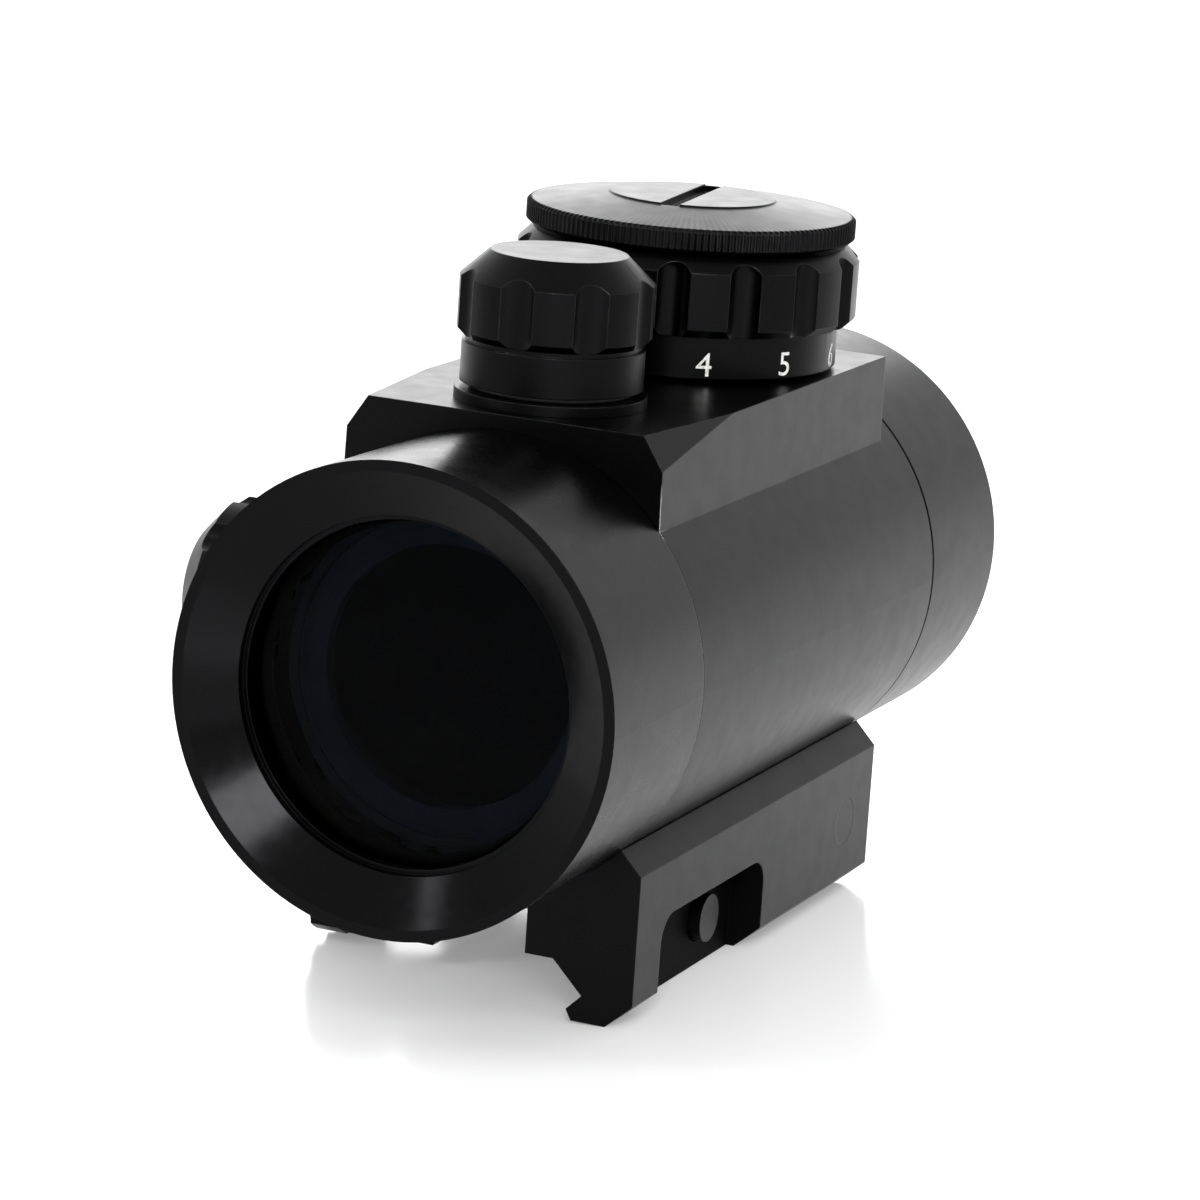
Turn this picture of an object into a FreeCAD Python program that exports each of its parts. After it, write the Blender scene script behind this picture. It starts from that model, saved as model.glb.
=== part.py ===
"""Red dot finder: a tube sight with two capped adjusters, a rotary brightness switch and a rail clamp.

Row frame, millimetres: +Z up, +Y from the front (objective) end to the eye end, +X to the right of
someone who looks at the front end. The origin is on the flat seat that lies on the rail, in the middle
of the base. Most pieces are drawn in the tube's own frame, which has the same directions and its origin
on the tube axis at the front rim, and their Placement moves them to the row frame.
"""
import FreeCAD, Part
import math
import os
import re
import Sketcher

# Driving dimensions: name, value in millimetres (or degrees, or a count), what it is.
SIZES = [
    ("rim_y", -43.6, "front rim along Y, from the middle of the base"),
    ("tube_axis_z", 23.4, "height of the tube axis over the rail seat"),
    ("length", 89.0, "front rim to rear rim"),
    ("rim_radius", 19.0, "outer radius at the front rim"),
    ("tube_radius", 18.75, "outer radius of the housing tube"),
    ("rear_radius", 18.65, "outer radius of the eyepiece ring"),
    ("bore_radius", 16.4, "bore of the housing tube"),
    ("bezel_length", 18.4, "front rim to the joint with the housing"),
    ("eyepiece_joint", 71.8, "front rim to the joint with the eyepiece ring"),
    ("spigot_radius", 17.35, "threaded spigots of the bezel and the eyepiece ring"),
    ("spigot_length", 6.0, "how far each spigot enters the housing"),
    ("cell_bore", 15.6, "bore behind each lens"),
    ("joint_gap", 0.12, "axial gap at the two screwed joints"),
    ("thread_gap", 0.1, "radial clearance that stands for a thread"),
    ("rim_flat", 0.9, "width of the flat front rim"),
    ("bevel_radius", 14.3, "inner radius of the front bevel"),
    ("bevel_depth", 2.3, "depth of the front bevel"),
    ("lip_radius", 13.9, "clear radius in front of each lens"),
    ("lip_depth", 3.0, "start of the lip behind the bevel"),
    ("lens_radius", 14.4, "radius of both end lenses"),
    ("lens_gap", 0.1, "radial clearance round a lens and its retainer"),
    ("lens_depth", 3.9, "rim to the seat of the lens"),
    ("lens_edge", 2.4, "edge thickness of a lens"),
    ("lens_curve", 90.0, "radius of a lens's outer face"),
    ("retainer_width", 1.8, "axial width of a lens retainer"),
    ("retainer_bore", 13.2, "bore of a lens retainer"),
    ("cell_depth", 5.2, "depth of the narrow cell behind the lens seat"),
    ("seal_wire", 0.4, "section radius of the two joint seals"),
    ("seal_offset", 3.4, "joint to the middle of its seal"),
    # inner tube and its pivot
    ("inner_radius", 12.8, "outer radius of the inner tube"),
    ("inner_bore", 11.0, "bore of the inner tube"),
    ("inner_front", 10.5, "rim to the front end of the inner tube"),
    ("inner_rear", 66.0, "rim to the rear end of the inner tube"),
    ("collar_radius", 13.8, "outer radius of the front collar of the inner tube"),
    ("collar_length", 5.5, "length of that collar"),
    ("combiner_radius", 12.9, "radius of the reflecting lens"),
    ("combiner_thick", 2.2, "thickness of the reflecting lens"),
    ("combiner_seat", 14.1, "rim to the seat of the reflecting lens"),
    ("combiner_ring", 1.2, "width of the ring that holds that lens"),
    ("led_width", 4.8, "width of the light source's block"),
    ("led_block_y", 22.0, "rim to the front of that block"),
    ("led_block_length", 7.0, "length of that block"),
    ("led_block_top", 8.2, "tube axis out to the face of that block"),
    ("led_radius", 0.9, "light source"),
    ("led_length", 1.1, "light source"),
    ("led_drop", 9.6, "tube axis out to the light source"),
    ("led_turn", 30.0, "turn of the light source from straight below, degrees"),
    ("pivot_y", 60.5, "rim to the pivot axes"),
    ("pivot_width", 4.0, "width of the pivot ring"),
    ("pivot_inner", 13.3, "inner radius of the pivot ring"),
    ("pivot_outer", 15.6, "outer radius of the pivot ring"),
    ("pin_radius", 0.8, "pivot pins"),
    ("pin_fit", 0.05, "radial running fit of pins, plungers and studs"),
    ("spring_radius", 1.9, "middle radius of the return springs"),
    ("spring_wire", 0.35, "section radius of the return springs"),
    ("spring_pocket", 0.9, "depth of the pocket that holds a return spring"),
    ("spring_turns", 3.0, "turns of a return spring"),
    # adjusters: heights are distances from the tube axis
    ("deck_height", 20.0, "flat deck over the tube axis"),
    ("deck_half_width", 13.85, "half width of the deck"),
    ("deck_rear", 68.3, "rim to the rear end of the deck"),
    ("side_half_width", 10.0, "half width of the side deck"),
    ("side_rear", 37.0, "rim to the rear end of the side deck"),
    ("block_draft", 0.02, "outward slope of the block's sides per millimetre down"),
    ("block_foot", 11.9, "height where the block's sides have entered the tube"),
    ("corner_drop", 2.7, "height that the front corner facet takes off the side"),
    ("corner_inset", 1.7, "width that the front corner facet takes off the deck"),
    ("corner_run", 14.3, "length of the front corner facet along the deck"),
    ("turret_y", 27.2, "rim to the adjuster axes"),
    ("adjuster_bore", 6.0, "threaded bore in the housing for an adjuster base"),
    ("adjuster_flange", 7.9, "flange of an adjuster base"),
    ("flange_thick", 0.9, "thickness of that flange"),
    ("neck_radius", 6.2, "threaded neck under an adjuster cap"),
    ("neck_top", 26.0, "top of that neck"),
    ("adjuster_foot", 17.6, "lower end of an adjuster base"),
    ("dial_stem", 3.0, "stem of an adjusting dial"),
    ("stem_foot", 22.6, "lower end of that stem"),
    ("dial_disc", 5.2, "disc of an adjusting dial"),
    ("dial_top", 27.6, "top of an adjusting dial"),
    ("plunger_radius", 1.6, "plunger that pushes the inner tube"),
    ("plunger_top", 25.2, "upper end of the plunger"),
    ("cap_skirt", 7.5, "smooth lower ring of an adjuster cap"),
    ("cap_bottom", 21.4, "lower edge of an adjuster cap"),
    ("cap_flute_foot", 25.1, "start of the fluted body"),
    ("cap_radius", 7.95, "fluted body"),
    ("cap_foot_bevel", 0.6, "chamfer under the fluted body"),
    ("cap_cone_foot", 30.0, "start of the top cone"),
    ("cap_top_radius", 5.6, "flat top"),
    ("cap_top", 32.2, "height of the flat top"),
    ("windage_drop", 2.4, "how much nearer the tube the windage cap's body and top are"),
    ("cap_roof", 1.8, "thickness of the cap's top"),
    ("cap_flutes", 8, "number of flutes"),
    ("cap_flute_radius", 2.0, "radius of a flute"),
    ("cap_flute_depth", 0.75, "depth of a flute"),
    ("cap_seal_wire", 0.24, "section radius of the cap seal"),
    # brightness switch: heights are distances from the tube axis
    ("switch_y", 54.8, "rim to the switch axis"),
    ("core_stem", 7.5, "stem of the fixed core"),
    ("core_stem_foot", 15.8, "lower end of that stem"),
    ("core_wire_bore", 5.0, "bore for the wires"),
    ("core_radius", 11.2, "cup of the fixed core"),
    ("core_foot", 22.9, "underside of that cup"),
    ("core_floor", 25.4, "floor of the battery space"),
    ("core_top", 30.6, "top of the core"),
    ("board_height", 0.6, "thickness of the switch board"),
    ("board_outer", 11.0, "outer radius of the switch board"),
    ("board_inner", 7.9, "inner radius of the switch board"),
    ("knob_foot", 21.2, "underside of the knob's inner web"),
    ("knob_web", 1.0, "thickness of the knob's inner web"),
    ("knob_web_bore", 7.8, "bore of that web"),
    ("knob_bore", 11.5, "bore of the knob"),
    ("skirt_radius", 13.25, "numbered skirt"),
    ("skirt_bore", 11.3, "bore of the skirt, round the switch board"),
    ("skirt_foot", 20.15, "lower edge of the skirt, just over the deck"),
    ("grip_foot", 24.0, "lower edge of the grip"),
    ("grip_radius", 14.7, "radius of the grip"),
    ("grip_foot_bevel", 0.7, "chamfer under the grip"),
    ("grip_top_bevel", 1.2, "chamfer over the grip"),
    ("grip_top", 30.7, "top of the grip"),
    ("grip_flutes", 15, "number of flutes"),
    ("grip_flute_radius", 1.5, "radius of a flute"),
    ("grip_flute_depth", 1.0, "depth of a flute"),
    ("grip_flute_top", 29.5, "where the round nose of a flute starts"),
    ("click_count", 11, "click positions"),
    ("click_radius", 9.6, "radius of the ring of dimples"),
    ("click_nose", 0.45, "nose of the click spring"),
    ("click_drop", 0.25, "how far the nose enters a dimple"),
    ("battery_radius", 10.0, "coin cell, 20 mm across"),
    ("battery_thick", 3.2, "coin cell"),
    ("battery_gap", 0.15, "radial clearance round the coin cell"),
    ("contact_thick", 0.45, "height of the contact under the coin cell"),
    ("lid_radius", 14.15, "battery cap"),
    ("lid_foot", 31.06, "lower face of the battery cap"),
    ("lid_edge", 2.05, "height of its knurled edge"),
    ("lid_plateau", 7.1, "radius of its flat top"),
    ("lid_top", 34.1, "height of its flat top"),
    ("lid_spigot_foot", 29.3, "lower end of its threaded spigot"),
    ("slot_width", 1.7, "coin slot"),
    ("slot_depth", 0.7, "coin slot"),
    ("slot_turn", 6.9, "coin slot, degrees from the tube's direction"),
    ("lid_seal_wire", 0.22, "section radius of the battery cap seal"),
    # rail base, in the row frame
    ("base_half_length", 26.55, "half length of the base"),
    ("base_outer", 15.08, "outer face of the fixed jaw"),
    ("base_inner", 5.4, "inner wall of the front part of the base"),
    ("base_shoulder_x", 13.2, "where the base meets the tube"),
    ("base_shoulder_z", 9.95, "where the base meets the tube"),
    ("base_side_top", 8.0, "upper edge of the outer face"),
    ("base_side_foot", -2.9, "lower edge of the outer face"),
    ("base_foot", -4.9, "lowest face of the base"),
    ("foot_outer", 12.8, "outer edge of that face"),
    ("foot_inner", 9.8, "inner edge of that face"),
    ("tip_x", 9.3, "tip of the dovetail hook"),
    ("tip_z", -4.0, "tip of the dovetail hook"),
    ("seat_half_width", 7.9, "half width of the rail seat"),
    ("groove_depth", 2.7, "rail seat to the apex of the dovetail groove"),
    ("web_start", -14.3, "front end of the web and of the clamp jaw"),
    ("web_side", -7.4, "side wall of the web that faces the clamp jaw"),
    ("saddle_gap", 0.05, "gap between the base's saddle and the tube"),
    ("window_front", -21.3, "recess in the outer face"),
    ("window_rear", 1.1, "recess in the outer face"),
    ("window_top", 3.4, "recess in the outer face"),
    ("window_floor", 12.1, "recess in the outer face"),
    ("window_corner", 2.4, "radius of its two upper corners"),
    ("base_corner", 1.5, "radius of the rear lower corner of the base"),
    ("jaw_closed", 1.4, "how far the jaw stands inside its place on a rail"),
    ("jaw_thick", 4.3, "thickness of the clamp jaw"),
    ("jaw_top", 5.8, "upper edge of the clamp jaw, under the tube"),
    ("jaw_gap", 0.1, "gap between the closed jaw and the web"),
    ("stud_radius", 2.05, "cross studs"),
    ("stud_end", -20.6, "threaded end of the cross studs"),
    ("stud_gap", 0.12, "clearance of the front cross stud in the base"),
    ("front_stud_y", -6.1, "front cross stud, which also takes the recoil"),
    ("front_stud_z", -0.6, "front cross stud"),
    ("front_stud_head", 13.2, "visible end of the front cross stud"),
    ("rear_stud_y", 20.3, "rear cross stud"),
    ("rear_stud_z", 2.3, "rear cross stud"),
    ("nut_hub", 5.0, "hub of a thumb nut"),
    ("nut_radius", 7.1, "head of a thumb nut"),
    ("nut_head_start", -19.0, "inner face of that head"),
    ("nut_end", -21.9, "outer face of a thumb nut"),
    ("nut_flutes", 12, "number of flutes on a thumb nut"),
    ("nut_flute_radius", 1.5, "radius of such a flute"),
    ("nut_flute_depth", 0.5, "depth of such a flute"),
    ("screw_y", 7.0, "middle of the two base screws"),
    ("screw_spacing", 12.0, "spacing of the two base screws"),
    ("screw_radius", 1.5, "base screws"),
    ("screw_head", 2.75, "head of a base screw"),
    ("screw_head_height", 2.0, "head of a base screw"),
    ("screw_top", 6.6, "upper end of a base screw"),
]
NAMES = {name for name, _, _ in SIZES}

TUBE_FRAME = {"y": "rim_y", "z": "tube_axis_z"}
ALONG_Y = FreeCAD.Rotation(FreeCAD.Vector(1, 0, 0), -90)
TO_LEFT = FreeCAD.Rotation(FreeCAD.Vector(0, 1, 0), -90)
ALONG_X = FreeCAD.Rotation(FreeCAD.Vector(0, 1, 0), 90)

doc = FreeCAD.newDocument("red_dot_finder")
sheet = doc.addObject("Spreadsheet::Sheet", "Sizes")
pieces = {}


# ---------------------------------------------------------------- helpers
def fill_sheet():
    """Write every driving dimension to the sheet, with its name as the alias."""
    for row, (name, number, meaning) in enumerate(SIZES, start=1):
        sheet.set(f"A{row}", name)
        sheet.set(f"B{row}", str(number))
        sheet.set(f"C{row}", meaning)
        sheet.setAlias(f"B{row}", name)
    doc.recompute()


def sized(formula):
    """The formula with each dimension's name written as an expression on the sheet."""
    return re.sub(r"[a-z][a-z_]*", lambda word: f"Sizes.{word[0]}" if word[0] in NAMES else word[0], formula)


def number(formula):
    """The present value of a formula of dimensions."""
    found = sheet.evalExpression(sized(formula))
    return float(getattr(found, "Value", found))


def bind(thing, formulas):
    """Bind properties of an object to formulas of dimensions."""
    for prop, formula in formulas.items():
        thing.setExpression(prop, sized(formula))


def place(thing, x="0", y="0", z="0", rotation=None):
    """Place an object at a bound position, turned by a fixed rotation."""
    if rotation is not None:
        thing.Placement = FreeCAD.Placement(FreeCAD.Vector(), rotation)
    bind(thing, {"Placement.Base.x": x, "Placement.Base.y": y, "Placement.Base.z": z})
    return thing


def cylinder(name, radius, height, x="0", y="0", z="0", rotation=None):
    """A cylinder that starts at a point and runs along local Z."""
    made = doc.addObject("Part::Cylinder", name)
    bind(made, {"Radius": radius, "Height": height})
    return place(made, x, y, z, rotation)


def box(name, low, size):
    """A box from its low corner and its three sizes."""
    made = doc.addObject("Part::Box", name)
    bind(made, dict(zip(("Length", "Width", "Height"), size)))
    return place(made, *low)


def torus(name, radius, wire, z):
    """A seal ring round local Z."""
    made = doc.addObject("Part::Torus", name)
    bind(made, {"Radius1": radius, "Radius2": wire})
    return place(made, z=z)


def plane_of(body, role):
    """The origin plane of a body that has this role."""
    return next(feature for feature in body.Origin.OriginFeatures if feature.Role == role)


def draw_outline(sketch, corners):
    """Draw a closed outline whose corners are held at bound distances from the sketch's origin."""
    places = [FreeCAD.Vector(number(across), number(up), 0) for across, up in corners]
    count = len(corners)
    for i in range(count):
        sketch.addGeometry(Part.LineSegment(places[i], places[(i + 1) % count]), False)
    for i in range(count):
        sketch.addConstraint(Sketcher.Constraint("Coincident", i, 2, (i + 1) % count, 1))
    for i, corner in enumerate(corners):
        for kind, axis_line, formula in (("DistanceX", -2, corner[0]), ("DistanceY", -1, corner[1])):
            if formula == "0":
                sketch.addConstraint(Sketcher.Constraint("PointOnObject", i, 1, axis_line))
                continue
            held = Sketcher.Constraint(kind, -1, 1, i, 1, number(formula))
            index = sketch.addConstraint(held)
            sketch.setExpression(f"Constraints[{index}]", sized(formula))


def sketch_in(body, name, role, corners):
    """A sketch of an outline on one of the body's origin planes."""
    sketch = body.newObject("Sketcher::SketchObject", name)
    sketch.AttachmentSupport = [(plane_of(body, role), "")]
    sketch.MapMode = "FlatFace"
    draw_outline(sketch, corners)
    return sketch


def turned(name, corners):
    """A turned body: an outline of radius and height, revolved about local Z."""
    body = doc.addObject("PartDesign::Body", name)
    sketch = sketch_in(body, name + "_outline", "XZ_Plane", corners)
    turn = body.newObject("PartDesign::Revolution", name + "_turn")
    turn.Profile = sketch
    turn.ReferenceAxis = (sketch, ["V_Axis"])
    turn.Angle = 360
    return body


def prism(name, role, corners, length):
    """A body padded from an outline: along +Y from the XZ plane, or along +Z from the XY plane."""
    body = doc.addObject("PartDesign::Body", name)
    sketch = sketch_in(body, name + "_outline", role, corners)
    pad = body.newObject("PartDesign::Pad", name + "_pad")
    pad.Profile = sketch
    bind(pad, {"Length": length})
    pad.Reversed = role == "XZ_Plane"
    return body


def joined(name, shapes):
    """Several solids as one."""
    made = doc.addObject("Part::MultiFuse", name)
    made.Shapes = shapes
    return made


def grouped(name, shapes):
    """Several separate solids in one piece."""
    made = doc.addObject("Part::Compound", name)
    made.Links = shapes
    return made


def less(name, base, tools):
    """A solid with one or more tools cut from it."""
    made = doc.addObject("Part::Cut", name)
    made.Base = base
    made.Tool = tools[0] if len(tools) == 1 else joined(name + "_tools", tools)
    return made


def common(name, first, second):
    """What two solids share."""
    made = doc.addObject("Part::MultiCommon", name)
    made.Shapes = [first, second]
    return made


def keep(label, thing):
    """Name a finished piece."""
    thing.Label = label
    pieces[label] = thing
    return thing


def ring_of_flutes(name, count, radius, reach, foot, height):
    """Round cutters in a ring about local Z, each as deep in the wall as the reach leaves it."""
    cutters = []
    for i in range(round(number(count))):
        angle = f"{i} * 360 / {count}"
        cutters.append(cylinder(f"{name}_{i}", radius, height, f"({reach}) * cos({angle})",
                                f"({reach}) * sin({angle})", foot))
    return cutters


def coil(name, z_foot, z_top):
    """A return spring about local Z, drawn with Part's own helix."""
    radius, wire = number("spring_radius"), number("spring_wire")
    rise = number(f"({z_top}) - ({z_foot})") - 2 * wire
    helix = Part.makeHelix(rise / number("spring_turns"), rise, radius)
    ring = Part.Wire([Part.makeCircle(wire, FreeCAD.Vector(radius, 0, 0), FreeCAD.Vector(0, 1, 0))])
    made = doc.addObject("Part::Feature", name)
    made.Shape = Part.Wire(helix.Edges).makePipeShell([ring], True, True)
    return made


def beyond_plane(name, point, second, third, reach):
    """A block that covers everything beyond the plane through three points."""
    normal = (second - point).cross(third - point)
    block = Part.makeBox(reach, reach, reach, FreeCAD.Vector(-reach / 2, -reach / 2, 0))
    block.Placement = FreeCAD.Placement(point, FreeCAD.Rotation(FreeCAD.Vector(0, 0, 1), normal))
    made = doc.addObject("Part::Feature", name)
    made.Shape = block
    return made


# ---------------------------------------------------------------- tube
def block_section(half_width):
    """The cross-section of a deck block, from inside the tube to the deck."""
    foot = f"{half_width} + (deck_height - block_foot) * block_draft"
    inside = f"{half_width} - 2"
    return [(foot, "block_foot"), (half_width, "deck_height"), (f"-({half_width})", "deck_height"),
            (f"-({foot})", "block_foot"), (f"-({inside})", "block_foot - 3"), (inside, "block_foot - 3")]


def corner_facets():
    """The two sloping facets at the front corners of the top block."""
    front, deck = number("bezel_length"), number("deck_height")
    wide = number("deck_half_width")
    drop, inset, run = number("corner_drop"), number("corner_inset"), number("corner_run")
    foot = wide + drop * number("block_draft")
    cutters = []
    for side in (1, -1):
        top = FreeCAD.Vector(side * (wide - inset), front, deck)
        low = FreeCAD.Vector(side * foot, front, deck - drop)
        end = FreeCAD.Vector(side * wide, front + run, deck)
        first, second = (low, end) if side > 0 else (end, low)
        cutters.append(beyond_plane(f"facet_{'right' if side > 0 else 'left'}", top, first, second, 60.0))
    return cutters


def main_housing():
    """The tube with its top and side decks, bored for the switch, the adjusters and the pivot pins."""
    tube = cylinder("housing_tube", "tube_radius", "eyepiece_joint - bezel_length",
                    y="bezel_length", rotation=ALONG_Y)
    top = prism("housing_top", "XZ_Plane", block_section("deck_half_width"), "deck_rear - bezel_length")
    place(top, y="bezel_length")
    side = prism("housing_side", "XZ_Plane", block_section("side_half_width"), "side_rear - bezel_length")
    place(side, y="bezel_length", rotation=TO_LEFT)
    bore = cylinder("housing_bore", "bore_radius", "length", rotation=ALONG_Y)
    spigot = "spigot_radius + thread_gap"
    front_bore = cylinder("housing_front_bore", spigot, "bezel_length + spigot_length + joint_gap",
                          rotation=ALONG_Y)
    rear_bore = cylinder("housing_rear_bore", spigot, "spigot_length + joint_gap + 10",
                         y="eyepiece_joint - spigot_length - joint_gap", rotation=ALONG_Y)
    adjuster = "adjuster_bore"
    elevation = cylinder("elevation_bore", adjuster, "deck_height", y="turret_y")
    windage = cylinder("windage_bore", adjuster, "deck_height + 1", y="turret_y", rotation=TO_LEFT)
    switch = cylinder("switch_bore", "core_stem + thread_gap", "deck_height + 1", y="switch_y")
    pocket = "bore_radius + spring_pocket"
    pocket_radius = "spring_radius + spring_wire + pin_fit"
    below = cylinder("elevation_pocket", pocket_radius, pocket, y="turret_y", z=f"-({pocket})")
    beside = cylinder("windage_pocket", pocket_radius, pocket, y="turret_y", rotation=ALONG_X)
    reach = "bore_radius + 1.3"
    pins = cylinder("housing_pin_holes", "pin_radius", f"2 * ({reach})", x=f"-({reach})", y="pivot_y",
                    rotation=ALONG_X)
    screws = [cylinder(f"housing_screw_{side}", "screw_radius", "screw_top + joint_gap",
                       y=f"screw_y {side} screw_spacing / 2 - rim_y", z="-tube_axis_z")
              for side in ("+", "-")]
    whole = joined("housing_whole", [tube, top, side])
    tools = [bore, front_bore, rear_bore, elevation, windage, switch, below, beside, pins] + screws
    cut = less("housing_cut", whole, tools + corner_facets())
    place(keep("main_housing", cut), **TUBE_FRAME)


def objective_end():
    """The front bezel with its lens, retainer and seal."""
    spigot_end = "bezel_length + spigot_length"
    groove = "bezel_length + seal_offset"
    root = "spigot_radius - 2 * seal_wire - 0.02"
    bezel = turned("bezel", [
        ("rim_radius - rim_flat", "0"), ("rim_radius", "0"),
        ("tube_radius + 0.03", "bezel_length - joint_gap"),
        ("spigot_radius", "bezel_length - joint_gap"), ("spigot_radius", f"{groove} - seal_wire - 0.02"),
        (root, f"{groove} - seal_wire - 0.02"), (root, f"{groove} + seal_wire + 0.02"),
        ("spigot_radius", f"{groove} + seal_wire + 0.02"), ("spigot_radius", spigot_end),
        ("cell_bore", spigot_end), ("cell_bore", "lens_depth + cell_depth"),
        ("lens_radius + lens_gap", "lens_depth + cell_depth"), ("lens_radius + lens_gap", "lens_depth"),
        ("lip_radius", "lens_depth"), ("lip_radius", "lip_depth"), ("bevel_radius", "lip_depth"),
        ("bevel_radius", "bevel_depth")])
    place(keep("objective_bezel", bezel), rotation=ALONG_Y, **TUBE_FRAME)
    seal = torus("bezel_ring", "spigot_radius - seal_wire", "seal_wire", groove)
    keep("bezel_seal", seal)
    place(seal, y=f"rim_y + {groove}", z="tube_axis_z", rotation=ALONG_Y)
    disc = cylinder("objective_disc", "lens_radius", "lens_edge + 2", z="lens_depth - 2")
    ball = doc.addObject("Part::Sphere", "objective_ball")
    bind(ball, {"Radius": "lens_curve"})
    centre = "lens_depth + sqrt(lens_curve ^ 2 - lip_radius ^ 2)"
    place(ball, z=centre)
    lens = common("objective_glass", disc, ball)
    place(keep("objective_lens", lens), rotation=ALONG_Y, **TUBE_FRAME)
    start = "lens_depth + lens_edge"
    retainer = turned("objective_ring", [
        ("retainer_bore", start), ("lens_radius", start), ("lens_radius", f"{start} + retainer_width"),
        ("retainer_bore + 0.8", f"{start} + retainer_width")])
    place(keep("objective_retainer", retainer), rotation=ALONG_Y, **TUBE_FRAME)


def eyepiece_end():
    """The rear ring with its lens, retainer and seal, measured forward from the rear rim."""
    joint = "length - eyepiece_joint"
    spigot_end = f"{joint} + spigot_length"
    groove = f"{joint} + seal_offset"
    root = "spigot_radius - 2 * seal_wire - 0.02"
    to_front = FreeCAD.Rotation(FreeCAD.Vector(1, 0, 0), 90)
    rear = {"y": "rim_y + length", "z": "tube_axis_z"}
    ring = turned("eyepiece", [
        ("bevel_radius + 2", "0"), ("rear_radius - 0.6", "0"), ("rear_radius", "0.6"),
        ("rear_radius", f"{joint} - joint_gap"), ("spigot_radius", f"{joint} - joint_gap"),
        ("spigot_radius", f"{groove} - seal_wire - 0.02"), (root, f"{groove} - seal_wire - 0.02"),
        (root, f"{groove} + seal_wire + 0.02"), ("spigot_radius", f"{groove} + seal_wire + 0.02"),
        ("spigot_radius", spigot_end), ("cell_bore", spigot_end), ("cell_bore", "lens_depth + cell_depth"),
        ("lens_radius + lens_gap", "lens_depth + cell_depth"), ("lens_radius + lens_gap", "lens_depth"),
        ("lip_radius", "lens_depth"), ("lip_radius", "lip_depth"), ("bevel_radius", "lip_depth - 1")])
    place(keep("eyepiece_ring", ring), rotation=to_front, **rear)
    seal = torus("eyepiece_seal_ring", "spigot_radius - seal_wire", "seal_wire", "0")
    keep("eyepiece_seal", seal)
    place(seal, y=f"rim_y + length - ({groove})", z="tube_axis_z", rotation=to_front)
    lens = cylinder("ocular_glass", "lens_radius", "lens_edge")
    keep("ocular_lens", lens)
    place(lens, y="rim_y + length - lens_depth", z="tube_axis_z", rotation=to_front)
    start = "lens_depth + lens_edge"
    retainer = turned("ocular_ring", [
        ("retainer_bore", start), ("lens_radius", start), ("lens_radius", f"{start} + retainer_width"),
        ("retainer_bore + 0.8", f"{start} + retainer_width")])
    place(keep("ocular_retainer", retainer), rotation=to_front, **rear)


# ---------------------------------------------------------------- inner tube
def inner_assembly():
    """The tilting inner tube with the reflecting lens, its retainer and the light source."""
    cell_end = "inner_front + collar_length"
    tube = turned("inner", [
        ("combiner_radius + lens_gap", "inner_front"), ("collar_radius", "inner_front"),
        ("collar_radius", cell_end), ("inner_radius", cell_end), ("inner_radius", "inner_rear"),
        ("inner_bore", "inner_rear"), ("inner_bore", "combiner_seat"),
        ("combiner_radius + lens_gap", "combiner_seat")])
    place(tube, rotation=ALONG_Y)
    reach = "inner_radius + 1"
    holes = cylinder("inner_pin_holes", "pin_radius + pin_fit", f"2 * ({reach})", y="pivot_y",
                     z=f"-({reach})")
    place(keep("inner_tube", less("inner_cut", tube, [holes])), **TUBE_FRAME)
    lens = cylinder("combiner_glass", "combiner_radius", "combiner_thick")
    keep("combiner_lens", lens)
    place(lens, y="rim_y + combiner_seat - combiner_thick", z="tube_axis_z", rotation=ALONG_Y)
    outer = cylinder("combiner_ring_outer", "combiner_radius", "combiner_ring")
    inner = cylinder("combiner_ring_inner", "inner_bore - 0.4", "combiner_ring")
    ring = keep("combiner_retainer", less("combiner_ring", outer, [inner]))
    place(ring, y="rim_y + combiner_seat - combiner_thick - combiner_ring", z="tube_axis_z",
          rotation=ALONG_Y)
    block = box("led_block", ("-led_width / 2", "led_block_y", "-inner_radius"),
                ("led_width", "led_block_length", "inner_radius - led_block_top"))
    sleeve = cylinder("led_sleeve", "inner_bore - 0.05", "length", rotation=ALONG_Y)
    holder = common("led_holder_body", block, sleeve)
    place(keep("led_holder", holder), rotation=FreeCAD.Rotation(FreeCAD.Vector(0, 1, 0), number("led_turn")),
          **TUBE_FRAME)
    led = cylinder("led_body", "led_radius", "led_length")
    keep("led_emitter", led)
    place(led, x="-led_drop * sin(led_turn)", y="rim_y + led_block_y - led_length",
          z="tube_axis_z - led_drop * cos(led_turn)", rotation=ALONG_Y)


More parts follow.
